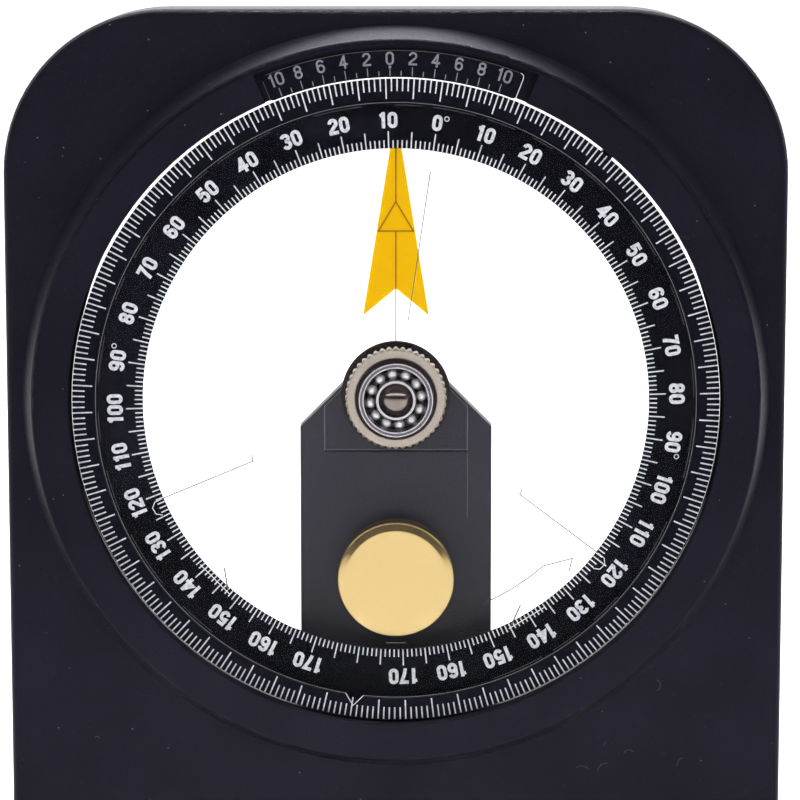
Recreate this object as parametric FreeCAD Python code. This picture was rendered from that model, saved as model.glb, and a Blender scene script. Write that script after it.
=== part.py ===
"""Pendulum inclinometer: a flat plastic case that stands on its base, a clear turning dial in a round
boss, and a clear weighted pendulum disc that swings on a ball bearing behind the dial.

Units are millimetres. +Z is up, the dial faces -Y and +X is to the right of a person who reads it.
The origin is the middle of the flat base, half way through the thickness. Each sub-part is one STEP
file in parts/.
"""

import FreeCAD, Part
import math
import os

V = FreeCAD.Vector
FLAT = 1e-6  # an edge thinner than this along Y lies in one plane
OVER = 1.0  # how far a cutter runs past the face that it opens

# --- overall -----------------------------------------------------------------------------------
CASE_WIDTH = 127.0
CASE_HEIGHT = 152.4
AXIS_BELOW_TOP = 63.5  # the dial and the pendulum share one axis
AXIS_Z = CASE_HEIGHT - AXIS_BELOW_TOP
TOP_CORNER_R = 26.6
BASE_CORNER_R = 3.0

# --- places along Y, front to back -------------------------------------------------------------
BOSS_FACE_Y = -10.7
DIAL_FACE_Y = -8.3  # the clear middle stands a little proud of the printed rim
DIAL_RIM_Y = -7.9
LIP_BACK_Y = -7.0
DIAL_FLANGE_Y = -6.9
DIAL_BACK_Y = -6.0
CASE_FACE_Y = -5.3
BEARING_FRONT_Y = -5.2
NUT_FRONT_Y = -3.5
PENDULUM_FRONT_Y = -0.6
PENDULUM_BACK_Y = 0.9
SEAM_Y = 1.2
PAD_FRONT_Y = 1.8
ARM_FRONT_Y = 2.6
ARM_BACK_Y = 7.0
CASE_BACK_Y = 10.7

# --- case shells -------------------------------------------------------------------------------
WALL = 2.0
FRONT_EDGE_R = 1.4
BACK_EDGE_R = 2.0
FRONT_FLOOR_Y = CASE_FACE_Y + WALL  # inner face of the front wall
BACK_FLOOR_Y = CASE_BACK_Y - WALL  # inner face of the back wall
SEAM_LIP = 0.9  # tongue on the front shell that locates the back shell
SEAM_LIP_DEPTH = 1.5
SEAM_FIT = 0.1

# --- round boss and its opening ----------------------------------------------------------------
BOSS_BASE_R = 60.9
BOSS_TOP_R = 58.85
BOSS_EDGE_R = 0.6
OPENING_R = 53.0
COUNTERBORE_R = 55.8
VERNIER_ANGLE = 23.2  # half angle of the recess for the vernier plate
VERNIER_RECESS_R = 57.9
VERNIER_PLATE_ANGLE = 21.8
VERNIER_PLATE_TURN = -0.5  # the plate sits a little to the left in its recess
VERNIER_PLATE_R = (52.75, 57.1)  # the plate overhangs the opening a little
VERNIER_PLATE_THICK = 0.4
VERNIER_CORNER_R = 0.7
SECTOR_R = 70.0  # reach of the wedge that cuts an arc out of a ring

# --- dial --------------------------------------------------------------------------------------
DIAL_STEP_R = 48.9
DIAL_RIM_R = 52.6
DIAL_FLANGE_R = 55.4  # clear, so light passes between the print and the lip
DIAL_CHAMFER = 0.25
DIAL_TURN = 8.5  # clockwise turn of the dial at rest, as the reader sees it
INNER_SCALE_R = (41.2, 51.5)
OUTER_SCALE_R = (49.0, 52.52)
FILM = 0.15
TAB_HALF_WIDTH = 1.6
TAB_LENGTH = 1.8
TAB_ROOT = 0.5  # how far the tab starts inside the step
TAB_TURN = -0.5  # the tab stands a little off the middle of the dial's foot

# --- ring that keeps the dial in the case ------------------------------------------------------
FELT_R = (53.7, 55.4)
FELT_Y = (DIAL_BACK_Y + 0.05, -4.8)
RETAINER_R = (53.7, 60.2)
RETAINER_BACK_Y = -1.8
RETAINER_SCREWS = 6
RETAINER_SCREW_R = 57.6  # radius of their circle
RETAINER_SCREW_START = 10.0
KEY_ANGLE = 40.4  # a key on the retainer that reaches in past the felt
KEY_HALF_WIDTH = 0.95
KEY_R = 52.3
RETAINER_SCREW_HEAD_R = 2.2
RETAINER_SCREW_HEAD = 1.0
RETAINER_SCREW_DEPTH = 4.0  # grip in the front shell

# --- back window -------------------------------------------------------------------------------
BACK_OPENING_R = 53.6
WINDOW_R = 55.4
WINDOW_REBATE_R = 55.6
WINDOW_Y = (8.0, 9.5)

# --- arm that carries the pivot ----------------------------------------------------------------
ARM_HALF_WIDTH = 15.85
ARM_TOP_R = 7.6
ARM_SHOULDER = 7.3  # distance of the sloping shoulders from the axis
ARM_FOOT = -62.8  # lower end, from the axis
ARM_EDGE_R = 0.5
PAD_HALF_WIDTH = 11.85
PAD_FOOT = -9.25
ARM_POCKET_R = 5.6
ARM_POCKET_Y = 4.0
ARM_SCREW_X = 10.0
ARM_SCREW_Z = -59.0
ARM_POST_R = 3.2
ARM_SCREW_HEAD_R = 2.4
ARM_SCREW_HEAD = 1.2
ARM_SCREW_GRIP = 0.6
PAD_MARGIN = 0.6  # step of the pad inside the arm's sloping outline
PAD_TOP_MARGIN = 0.8

# --- pivot stud and bearing --------------------------------------------------------------------
STUD_R = 2.78
STUD_THREAD_R = 2.0
STUD_DOME_R = 3.6
STUD_DOME_Y = -5.7  # front of the dome
WASHER_R = 4.5
WASHER_THICK = 0.5
STUD_NUT_FLAT = 3.5  # half of the width across flats
BEARING_BORE_R = 2.8
BEARING_OUTER_R = 6.08
BEARING_WIDTH = 3.2
BEARING_BACK_Y = BEARING_FRONT_Y + BEARING_WIDTH
BALL_Y = BEARING_FRONT_Y + BEARING_WIDTH / 2
INNER_RING_R = 3.45
INNER_FACE_R = 3.25  # the rings slope from the end face to the race
OUTER_RING_R = 4.95
OUTER_FACE_R = 5.25
RING_CHAMFER = 0.1
BALL_R = 0.85
BALL_PITCH_R = 4.2
BALLS = 12
BALL_START = -8.0
RACE_CLEARANCE = 0.02
CAGE_R = (3.95, 4.5)
CAGE_Y = (BALL_Y - 0.3, BALL_Y + 1.3)  # open at the front, so that the balls snap in
CAGE_POCKET_R = 0.9
SPACER_R = 3.4

# --- pendulum ----------------------------------------------------------------------------------
PENDULUM_R = 42.5
HUB_R = 6.68
HUB_BORE_R = 6.1
HUB_SHOULDER_R = 5.4
HUB_FRONT_Y = -3.7
HUB_FLANGE_R = 9.0
HUB_FLANGE_BACK_Y = 1.5
NUT_R = 8.3
NUT_BORE_R = 6.71
NUT_TEETH = 44
NUT_TOOTH = 0.38
NUT_CHAMFER = 0.35
NUT_BORE_CHAMFER = 0.08
WEIGHT_R = 9.55
WEIGHT_DROP = 29.8  # weight below the axis
WEIGHT_SLOPE = 1.35  # width of the sloping rim round the flat face
WEIGHT_SLOPE_DEPTH = 0.3
WEIGHT_FRONT_Y = -5.1
WEIGHT_SCREW_R = 1.5
WEIGHT_SCREW_HEAD_R = 3.2
WEIGHT_SCREW_HEAD = 0.7
WEIGHT_SCREW_GRIP = 2.5
ARROW_TIP = (0.75, 42.0)
ARROW_TAIL = (5.4, 13.4)
ARROW_NOTCH = 17.9
ARROW_FILM = 0.1
RUNNING_FIT = 0.02  # radial clearance of a thread or a bore on its shaft
DISC_CHAMFER = 0.2

# --- screws ------------------------------------------------------------------------------------
SCREW_R = 1.45
SCREW_PILOT_R = 1.47
SCREW_CLEARANCE_R = 1.7
CASE_SCREW_HEAD_R = 2.8
CASE_SCREW_HEAD = 1.8
CASE_SCREW_SINK = 3.0  # depth of the head's counterbore from the back
CASE_SCREW_TIP_Y = -1.8
CASE_POST_R = 4.2
CASE_SCREW_RIGHT = ((49.0, 49.0), (54.6, -50.0), (55.5, -80.0))  # (x, z) from the dial axis
CASE_SCREW_PLACES = [(side * x, z) for x, z in CASE_SCREW_RIGHT for side in (-1, 1)]
HEAD_CLEARANCE = 0.3
SLOT_HALF_WIDTH = 0.3
PILOT_SPARE = 0.5  # depth of a pilot hole past the screw's tip


def disc(r, y0, y1, x=0.0, z=0.0):
    """A cylinder along Y. x and z are its place from the dial axis."""
    return Part.makeCylinder(r, y1 - y0, V(x, y0, AXIS_Z + z), V(0, 1, 0))


def ring(r_in, r_out, y0, y1, x=0.0, z=0.0):
    """A plain ring along Y."""
    return disc(r_out, y0, y1, x, z).cut(disc(r_in, y0 - 1, y1 + 1, x, z))


def cone(r0, r1, y0, y1, x=0.0, z=0.0):
    """A cone frustum along Y, r0 at y0 and r1 at y1."""
    return Part.makeCone(r0, r1, y1 - y0, V(x, y0, AXIS_Z + z), V(0, 1, 0))


def prism(points, y0, y1):
    """A prism along Y from (x, z) points given from the dial axis."""
    corners = [V(x, y0, AXIS_Z + z) for x, z in points]
    face = Part.Face(Part.makePolygon(corners + corners[:1]))
    return face.extrude(V(0, y1 - y0, 0))


def bar(x, z, half_x, half_z, y0, y1):
    """A rectangular bar along Y about (x, z)."""
    left, right, low, high = x - half_x, x + half_x, z - half_z, z + half_z
    return prism([(left, low), (right, low), (right, high), (left, high)], y0, y1)


def sector(half_angle, y0, y1):
    """A wedge about the top of the dial, to cut a ring down to an arc."""
    side = SECTOR_R * math.tan(math.radians(half_angle))
    return prism([(0, 0), (-side, SECTOR_R), (side, SECTOR_R)], y0, y1)


def fuse(shapes):
    return shapes[0].multiFuse(shapes[1:]).removeSplitter()


def flat_edges(shape, y=None):
    """Edges that lie in one plane across Y, or only those in the plane at y."""
    flat = [e for e in shape.Edges if e.BoundBox.YLength < FLAT]
    return [e for e in flat if y is None or abs(e.BoundBox.YMin - y) < FLAT]


def turned(shape, degrees):
    """Turns a shape clockwise about the dial axis, as the reader sees it."""
    out = shape.copy()
    out.rotate(V(0, 0, AXIS_Z), V(0, 1, 0), degrees)
    return out


def polar(r, degrees):
    """(x, z) from the dial axis, clockwise from the top."""
    a = math.radians(degrees)
    return r * math.sin(a), r * math.cos(a)


def case_block(inset, y0, y1):
    """The case's outline, moved in by inset, as a plate between y0 and y1."""
    half = CASE_WIDTH / 2 - inset
    low, high = inset, CASE_HEIGHT - inset
    r_top, r_low = TOP_CORNER_R - inset, max(BASE_CORNER_R - inset, 0.8)

    def corner(cx, cz, r, start):
        ends = [math.radians(start + d) for d in (0, 45, 90)]
        return Part.Arc(*[V(cx + r * math.cos(a), y0, cz + r * math.sin(a)) for a in ends])

    arcs = [
        corner(half - r_top, high - r_top, r_top, 0),
        corner(-half + r_top, high - r_top, r_top, 90),
        corner(-half + r_low, low + r_low, r_low, 180),
        corner(half - r_low, low + r_low, r_low, 270),
    ]
    edges = []
    for here, after in zip(arcs, arcs[1:] + arcs[:1]):
        edges += [here.toShape(), Part.makeLine(here.EndPoint, after.StartPoint)]
    return Part.Face(Part.Wire(edges)).extrude(V(0, y1 - y0, 0))


def rounded(block, y, r):
    """Rounds the outer edges of a case block that lie in the plane y."""
    return block.makeFillet(r, flat_edges(block, y))


def front_shell():
    """Front half of the case, with the boss that surrounds the dial."""
    outer = rounded(case_block(0, CASE_FACE_Y, SEAM_Y), CASE_FACE_Y, FRONT_EDGE_R)
    cavity = case_block(WALL, FRONT_FLOOR_Y, SEAM_Y + OVER)
    boss = cone(BOSS_TOP_R, BOSS_BASE_R, BOSS_FACE_Y, CASE_FACE_Y)
    boss = boss.makeFillet(BOSS_EDGE_R, flat_edges(boss, BOSS_FACE_Y))
    boss_foot = disc(BOSS_BASE_R, CASE_FACE_Y, FRONT_FLOOR_Y)
    tongue = case_block(WALL - SEAM_LIP, FRONT_FLOOR_Y, SEAM_Y + SEAM_LIP_DEPTH)
    tongue = tongue.cut(case_block(WALL, FRONT_FLOOR_Y - OVER, SEAM_Y + SEAM_LIP_DEPTH + OVER))
    posts = [disc(CASE_POST_R, FRONT_FLOOR_Y, SEAM_Y, x, z) for x, z in CASE_SCREW_PLACES]
    shell = fuse([outer.cut(cavity), boss, boss_foot, tongue] + posts)
    recess = ring(OPENING_R - OVER, VERNIER_RECESS_R, BOSS_FACE_Y - OVER, DIAL_RIM_Y)
    recess = recess.common(sector(VERNIER_ANGLE, BOSS_FACE_Y - OVER, DIAL_RIM_Y))
    cuts = [
        disc(OPENING_R, BOSS_FACE_Y - OVER, SEAM_Y),
        disc(COUNTERBORE_R, LIP_BACK_Y, SEAM_Y),
        recess,
    ]
    pilot_y = CASE_SCREW_TIP_Y - PILOT_SPARE
    cuts += [disc(SCREW_PILOT_R, pilot_y, SEAM_Y + OVER, x, z) for x, z in CASE_SCREW_PLACES]
    pilot_y = FRONT_FLOOR_Y - RETAINER_SCREW_DEPTH - PILOT_SPARE
    cuts += [disc(SCREW_PILOT_R, pilot_y, FRONT_FLOOR_Y + OVER, x, z) for x, z in retainer_places()]
    for cutter in cuts:
        shell = shell.cut(cutter)
    return shell


def back_shell():
    """Back half of the case, with the rebate for the window and the posts for the arm."""
    outer = rounded(case_block(0, SEAM_Y, CASE_BACK_Y), CASE_BACK_Y, BACK_EDGE_R)
    cavity = case_block(WALL, SEAM_Y - OVER, BACK_FLOOR_Y)
    groove = case_block(WALL - SEAM_LIP - SEAM_FIT, SEAM_Y - OVER, SEAM_Y + SEAM_LIP_DEPTH + SEAM_FIT)
    posts = [disc(CASE_POST_R, SEAM_Y, BACK_FLOOR_Y, x, z) for x, z in CASE_SCREW_PLACES]
    for x in (-ARM_SCREW_X, ARM_SCREW_X):
        posts.append(disc(ARM_POST_R, ARM_BACK_Y, BACK_FLOOR_Y, x, ARM_SCREW_Z))
    room = case_block(WALL, SEAM_Y, BACK_FLOOR_Y)
    shell = fuse([outer.cut(cavity).cut(groove)] + [p.common(room) for p in posts])
    cuts = [
        disc(BACK_OPENING_R, BACK_FLOOR_Y - OVER, CASE_BACK_Y + OVER),
        disc(WINDOW_REBATE_R, WINDOW_Y[0] - OVER, WINDOW_Y[1]),
    ]
    for x, z in CASE_SCREW_PLACES:
        cuts.append(disc(SCREW_CLEARANCE_R, SEAM_Y - OVER, CASE_BACK_Y + OVER, x, z))
        sink_r = CASE_SCREW_HEAD_R + HEAD_CLEARANCE
        cuts.append(disc(sink_r, CASE_BACK_Y - CASE_SCREW_SINK, CASE_BACK_Y + OVER, x, z))
    for x in (-ARM_SCREW_X, ARM_SCREW_X):
        pilot_y = BACK_FLOOR_Y + ARM_SCREW_GRIP + PILOT_SPARE / 2
        cuts.append(disc(SCREW_PILOT_R, ARM_BACK_Y - OVER, pilot_y, x, ARM_SCREW_Z))
    for cutter in cuts:
        shell = shell.cut(cutter)
    return shell


def back_window():
    """Clear round window in the back shell."""
    return disc(WINDOW_R, WINDOW_Y[0], WINDOW_Y[1])


def screw(x, z, head_y, tip_y, head_r, head_thick):
    """A pan-head screw with a cross slot. Its head is at head_y and its tip at tip_y."""
    way = 1 if tip_y > head_y else -1
    inner = head_y + way * head_thick
    head = disc(head_r, min(head_y, inner), max(head_y, inner), x, z)
    head = head.makeFillet(min(0.5, head_thick * 0.4), flat_edges(head, head_y))
    shank = disc(SCREW_R, min(inner, tip_y), max(inner, tip_y), x, z)
    body = head.fuse(shank).removeSplitter()
    depth = min(1.0, head_thick * 0.6)
    low, high = sorted((head_y - way, head_y + way * depth))
    reach = head_r * 0.6
    for half_x, half_z in ((reach, SLOT_HALF_WIDTH), (SLOT_HALF_WIDTH, reach)):
        body = body.cut(bar(x, z, half_x, half_z, low, high))
    return body


def case_screws():
    """Screws that hold the two shells together, from the back."""
    head_y = CASE_BACK_Y - CASE_SCREW_SINK + CASE_SCREW_HEAD
    size = (head_y, CASE_SCREW_TIP_Y, CASE_SCREW_HEAD_R, CASE_SCREW_HEAD)
    return Part.makeCompound([screw(x, z, *size) for x, z in CASE_SCREW_PLACES])


def retainer_places():
    step = 360.0 / RETAINER_SCREWS
    return [polar(RETAINER_SCREW_R, RETAINER_SCREW_START + i * step) for i in range(RETAINER_SCREWS)]


def vernier_plate():
    """Thin printed arc in the recess at the top of the boss."""
    arc = ring(VERNIER_PLATE_R[0], VERNIER_PLATE_R[1], DIAL_RIM_Y - VERNIER_PLATE_THICK, DIAL_RIM_Y)
    arc = arc.common(sector(VERNIER_PLATE_ANGLE, DIAL_RIM_Y - OVER, DIAL_RIM_Y))
    corners = [e for e in arc.Edges if abs(e.BoundBox.YLength - VERNIER_PLATE_THICK) < FLAT]
    return turned(arc.makeFillet(VERNIER_CORNER_R, corners), VERNIER_PLATE_TURN)


def felt_ring():
    """Felt ring that rubs on the back of the dial, so that the dial stays where it is set."""
    return ring(FELT_R[0], FELT_R[1], FELT_Y[0], FELT_Y[1])


def dial_retainer():
    """Ring behind the dial. Its raised rim presses the felt on the dial's flange."""
    flange = ring(RETAINER_R[0], RETAINER_R[1], FRONT_FLOOR_Y, RETAINER_BACK_Y)
    rim = ring(FELT_R[0], FELT_R[1], FELT_Y[1], FRONT_FLOOR_Y)
    key_z = (KEY_R + FELT_R[1]) / 2
    key = bar(0, key_z, KEY_HALF_WIDTH, key_z - KEY_R, FELT_Y[1], RETAINER_BACK_Y)
    body = fuse([flange, rim, turned(key, KEY_ANGLE)])
    for x, z in retainer_places():
        body = body.cut(disc(SCREW_CLEARANCE_R, FRONT_FLOOR_Y - OVER, RETAINER_BACK_Y + OVER, x, z))
    return body


def retainer_screws():
    """Screws that hold the dial retainer on the front shell."""
    head_y = RETAINER_BACK_Y + RETAINER_SCREW_HEAD
    tip_y = FRONT_FLOOR_Y - RETAINER_SCREW_DEPTH
    size = (head_y, tip_y, RETAINER_SCREW_HEAD_R, RETAINER_SCREW_HEAD)
    return Part.makeCompound([screw(x, z, *size) for x, z in retainer_places()])


def dial_disc():
    """Clear turning dial: a proud middle, a rim for the outer scale and a flange behind the lip."""
    steps = [(DIAL_STEP_R, DIAL_FACE_Y), (DIAL_RIM_R, DIAL_RIM_Y), (DIAL_FLANGE_R, DIAL_FLANGE_Y)]
    layers = []
    for r, y in steps:
        front = cone(r - DIAL_CHAMFER, r, y, y + DIAL_CHAMFER)
        layers.append(front.fuse(disc(r, y + DIAL_CHAMFER, DIAL_BACK_Y)))
    z = -DIAL_STEP_R + TAB_ROOT
    point = (0, z - TAB_LENGTH - TAB_ROOT)
    tab = prism([(-TAB_HALF_WIDTH, z), point, (TAB_HALF_WIDTH, z)], DIAL_FACE_Y, DIAL_BACK_Y)
    return turned(fuse(layers + [turned(tab, TAB_TURN)]), DIAL_TURN)


def inner_scale_ring():
    """Black printed ring behind the clear dial, under the numerals."""
    return turned(ring(INNER_SCALE_R[0], INNER_SCALE_R[1], DIAL_BACK_Y, DIAL_BACK_Y + FILM), DIAL_TURN)


def outer_scale_ring():
    """Black printed ring on the dial's rim, under the fine marks that the vernier reads."""
    film = ring(OUTER_SCALE_R[0], OUTER_SCALE_R[1], DIAL_RIM_Y - FILM, DIAL_RIM_Y)
    return turned(film.cut(turned(dial_disc(), -DIAL_TURN)), DIAL_TURN)


def pivot_arm():
    """Arm that rises across the back of the opening and carries the pivot."""
    reach = ARM_SHOULDER * math.sqrt(2)
    shoulder_z = reach - ARM_HALF_WIDTH
    chord = math.sqrt(ARM_TOP_R**2 - ARM_SHOULDER**2)
    meet_x = (ARM_SHOULDER + chord) / math.sqrt(2)
    meet_z = reach - meet_x
    outline = [
        (-ARM_HALF_WIDTH, ARM_FOOT),
        (ARM_HALF_WIDTH, ARM_FOOT),
        (ARM_HALF_WIDTH, shoulder_z),
        (meet_x, meet_z),
        (-meet_x, meet_z),
        (-ARM_HALF_WIDTH, shoulder_z),
    ]
    body = fuse([prism(outline, ARM_FRONT_Y, ARM_BACK_Y), disc(ARM_TOP_R, ARM_FRONT_Y, ARM_BACK_Y)])
    body = body.makeFillet(ARM_EDGE_R, flat_edges(body, ARM_FRONT_Y))
    pad_z = reach - PAD_HALF_WIDTH - PAD_MARGIN
    pad_meet = meet_x - PAD_MARGIN
    pad = [
        (-PAD_HALF_WIDTH, PAD_FOOT),
        (PAD_HALF_WIDTH, PAD_FOOT),
        (PAD_HALF_WIDTH, pad_z),
        (pad_meet, meet_z),
        (-pad_meet, meet_z),
        (-PAD_HALF_WIDTH, pad_z),
    ]
    pad_back_y = ARM_FRONT_Y + ARM_EDGE_R
    pad_top = disc(ARM_TOP_R - PAD_TOP_MARGIN, PAD_FRONT_Y, pad_back_y)
    body = fuse([body, prism(pad, PAD_FRONT_Y, pad_back_y), pad_top])
    body = body.cut(disc(STUD_THREAD_R + RUNNING_FIT, PAD_FRONT_Y - OVER, ARM_BACK_Y + OVER))
    body = body.cut(disc(ARM_POCKET_R, ARM_POCKET_Y, ARM_BACK_Y + OVER))
    for x in (-ARM_SCREW_X, ARM_SCREW_X):
        sink_r = ARM_SCREW_HEAD_R + HEAD_CLEARANCE
        sink_y = ARM_FRONT_Y + ARM_SCREW_HEAD
        body = body.cut(disc(SCREW_CLEARANCE_R, ARM_FRONT_Y - OVER, ARM_BACK_Y + OVER, x, ARM_SCREW_Z))
        body = body.cut(disc(sink_r, ARM_FRONT_Y - OVER, sink_y, x, ARM_SCREW_Z))
    return body


def arm_screws():
    """Two screws through the foot of the arm into the back shell."""
    size = (ARM_FRONT_Y, BACK_FLOOR_Y + ARM_SCREW_GRIP, ARM_SCREW_HEAD_R, ARM_SCREW_HEAD)
    return Part.makeCompound([screw(x, ARM_SCREW_Z, *size) for x in (-ARM_SCREW_X, ARM_SCREW_X)])


def pivot_stud():
    """Stepped stud with a polished domed end."""
    centre_y = STUD_DOME_Y + STUD_DOME_R
    foot_y = centre_y - math.sqrt(STUD_DOME_R**2 - STUD_R**2)
    ball = Part.makeSphere(STUD_DOME_R, V(0, centre_y, AXIS_Z))
    dome = ball.common(disc(STUD_R, STUD_DOME_Y - OVER, centre_y))
    journal = disc(STUD_R, foot_y, PAD_FRONT_Y)
    thread = disc(STUD_THREAD_R, PAD_FRONT_Y, ARM_BACK_Y + 0.2)
    return fuse([dome, journal, thread])


def stud_washer():
    """Washer under the stud's nut."""
    return ring(STUD_THREAD_R + 0.1, WASHER_R, ARM_POCKET_Y, ARM_POCKET_Y + WASHER_THICK)


def stud_nut():
    """Hexagon nut in the round pocket behind the arm."""
    flats = [polar(STUD_NUT_FLAT / math.cos(math.radians(30)), 60 * i) for i in range(6)]
    nut = prism(flats, ARM_POCKET_Y + WASHER_THICK, ARM_BACK_Y - 0.1)
    return nut.cut(disc(STUD_THREAD_R + RUNNING_FIT, ARM_POCKET_Y, ARM_BACK_Y + OVER))


def stud_spacer():
    """Sleeve on the stud between the bearing's inner ring and the arm's pad."""
    return ring(BEARING_BORE_R, SPACER_R, BEARING_BACK_Y, PAD_FRONT_Y)


def race():
    """The channel that the balls run in, shared by both rings."""
    return Part.makeTorus(BALL_PITCH_R, BALL_R + RACE_CLEARANCE, V(0, BALL_Y, AXIS_Z), V(0, 1, 0))


def bearing_ring(race_r, face_r, far_r):
    """Bearing ring with long slopes on the race's side and small chamfers on its far side."""
    slope = abs(face_r - race_r)
    inset = far_r + math.copysign(RING_CHAMFER, race_r - far_r)
    front, back = BEARING_FRONT_Y, BEARING_BACK_Y
    profile = [
        (race_r, front + slope),
        (face_r, front),
        (inset, front),
        (far_r, front + RING_CHAMFER),
        (far_r, back - RING_CHAMFER),
        (inset, back),
        (face_r, back),
        (race_r, back - slope),
    ]
    points = [V(r, y, AXIS_Z) for r, y in profile]
    face = Part.Face(Part.makePolygon(points + points[:1]))
    return face.revolve(V(0, 0, AXIS_Z), V(0, 1, 0), 360).cut(race())


def bearing_outer_ring():
    return bearing_ring(OUTER_RING_R, OUTER_FACE_R, BEARING_OUTER_R)


def bearing_inner_ring():
    return bearing_ring(INNER_RING_R, INNER_FACE_R, BEARING_BORE_R)


def ball_places():
    return [polar(BALL_PITCH_R, BALL_START + 360.0 / BALLS * i) for i in range(BALLS)]


def bearing_balls():
    balls = [Part.makeSphere(BALL_R, V(x, BALL_Y, AXIS_Z + z)) for x, z in ball_places()]
    return Part.makeCompound(balls)


def bearing_cage():
    """Crown-shaped ring behind the balls that keeps them apart."""
    body = ring(CAGE_R[0], CAGE_R[1], CAGE_Y[0], CAGE_Y[1])
    foot = V(0, BALL_Y, AXIS_Z)
    for x, z in ball_places():
        body = body.cut(Part.makeCylinder(CAGE_POCKET_R, CAGE_R[1] + OVER, foot, V(x, 0, z)))
    return body


def pendulum_hub():
    """Threaded tube with a flange behind the disc. It holds the bearing's outer ring."""
    tube = disc(HUB_R, HUB_FRONT_Y, PENDULUM_BACK_Y)
    flange = disc(HUB_FLANGE_R, PENDULUM_BACK_Y, HUB_FLANGE_BACK_Y)
    body = fuse([tube, flange])
    body = body.cut(disc(HUB_BORE_R, HUB_FRONT_Y - OVER, BEARING_BACK_Y))
    return body.cut(disc(HUB_SHOULDER_R, BEARING_BACK_Y - OVER, HUB_FLANGE_BACK_Y + OVER))


def knurled_nut():
    """Round nut with a toothed edge that clamps the disc on the hub."""
    half_step = 180.0 / NUT_TEETH
    outline = []
    for i in range(NUT_TEETH):
        angle = 2 * half_step * i
        outline.append(polar(NUT_R, angle - 0.25 * half_step))
        outline.append(polar(NUT_R, angle + 0.25 * half_step))
        outline.append(polar(NUT_R - NUT_TOOTH, angle + half_step))
    body = prism(outline, NUT_FRONT_Y, PENDULUM_FRONT_Y)
    ends = cone(NUT_R - NUT_CHAMFER, NUT_R + 0.01, NUT_FRONT_Y, NUT_FRONT_Y + NUT_CHAMFER)
    ends = ends.fuse(disc(NUT_R + 0.01, NUT_FRONT_Y + NUT_CHAMFER, PENDULUM_FRONT_Y))
    body = body.common(ends)
    body = body.cut(disc(NUT_BORE_R, NUT_FRONT_Y - OVER, PENDULUM_FRONT_Y + OVER))
    mouth = (NUT_BORE_R + NUT_BORE_CHAMFER, NUT_BORE_R, NUT_FRONT_Y, NUT_FRONT_Y + NUT_BORE_CHAMFER)
    return body.cut(cone(*mouth))


def pendulum_disc():
    """Clear disc that carries the arrow and the weight."""
    body = disc(PENDULUM_R, PENDULUM_FRONT_Y, PENDULUM_BACK_Y)
    body = body.makeChamfer(DISC_CHAMFER, flat_edges(body))
    body = body.cut(disc(HUB_R + RUNNING_FIT, PENDULUM_FRONT_Y - OVER, PENDULUM_BACK_Y + OVER))
    hole_r = WEIGHT_SCREW_R + 0.1
    return body.cut(disc(hole_r, PENDULUM_FRONT_Y - OVER, PENDULUM_BACK_Y + OVER, 0, -WEIGHT_DROP))


def arrow_pointer():
    """Printed swallow-tailed arrow that points straight up."""
    tip_x, tip_z = ARROW_TIP
    tail_x, tail_z = ARROW_TAIL
    outline = [(-tip_x, tip_z), (tip_x, tip_z), (tail_x, tail_z), (0, ARROW_NOTCH), (-tail_x, tail_z)]
    return prism(outline, PENDULUM_FRONT_Y - ARROW_FILM, PENDULUM_FRONT_Y)


def pendulum_weight():
    """Brass weight with a shallow sloping rim round its flat face."""
    z = -WEIGHT_DROP
    shoulder = WEIGHT_FRONT_Y + WEIGHT_SLOPE_DEPTH
    front = cone(WEIGHT_R - WEIGHT_SLOPE, WEIGHT_R, WEIGHT_FRONT_Y, shoulder, 0, z)
    body = fuse([front, disc(WEIGHT_R, shoulder, PENDULUM_FRONT_Y, 0, z)])
    hole_y = PENDULUM_FRONT_Y - WEIGHT_SCREW_GRIP - 0.1
    return body.cut(disc(WEIGHT_SCREW_R + RUNNING_FIT, hole_y, PENDULUM_FRONT_Y + OVER, 0, z))


def weight_screw():
    """Flat-headed screw through the disc into the back of the weight."""
    z = -WEIGHT_DROP
    head = disc(WEIGHT_SCREW_HEAD_R, PENDULUM_BACK_Y, PENDULUM_BACK_Y + WEIGHT_SCREW_HEAD, 0, z)
    shank = disc(WEIGHT_SCREW_R, PENDULUM_FRONT_Y - WEIGHT_SCREW_GRIP, PENDULUM_BACK_Y, 0, z)
    slot_y = PENDULUM_BACK_Y + WEIGHT_SCREW_HEAD / 2
    slot = bar(0, z, WEIGHT_SCREW_HEAD_R + OVER, SLOT_HALF_WIDTH, slot_y, slot_y + OVER)
    return fuse([head, shank]).cut(slot)


PIECES = [
    front_shell,
    back_shell,
    back_window,
    case_screws,
    vernier_plate,
    felt_ring,
    dial_retainer,
    retainer_screws,
    pivot_arm,
    arm_screws,
    pivot_stud,
    stud_washer,
    stud_nut,
    stud_spacer,
    bearing_inner_ring,
    bearing_outer_ring,
    bearing_balls,
    bearing_cage,
    dial_disc,
    inner_scale_ring,
    outer_scale_ring,
    pendulum_disc,
    pendulum_hub,
    knurled_nut,
    arrow_pointer,
    pendulum_weight,
    weight_screw,
]

os.makedirs("parts", exist_ok=True)
for make in PIECES:
    shape = make()
    name = make.__name__
    if not shape.isValid() or not shape.Solids:
        raise RuntimeError(name + " is not a valid solid")
    shape.exportStep("parts/" + name + ".step")
    box = shape.optimalBoundingBox(False)
    print(
        f"{name:20s} {len(shape.Solids):3d} solids {shape.Volume:10.1f} mm3"
        f"  y {box.YMin:7.2f} {box.YMax:7.2f}  z {box.ZMin:7.2f} {box.ZMax:7.2f}"
    )
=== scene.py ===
import math
import random

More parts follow.
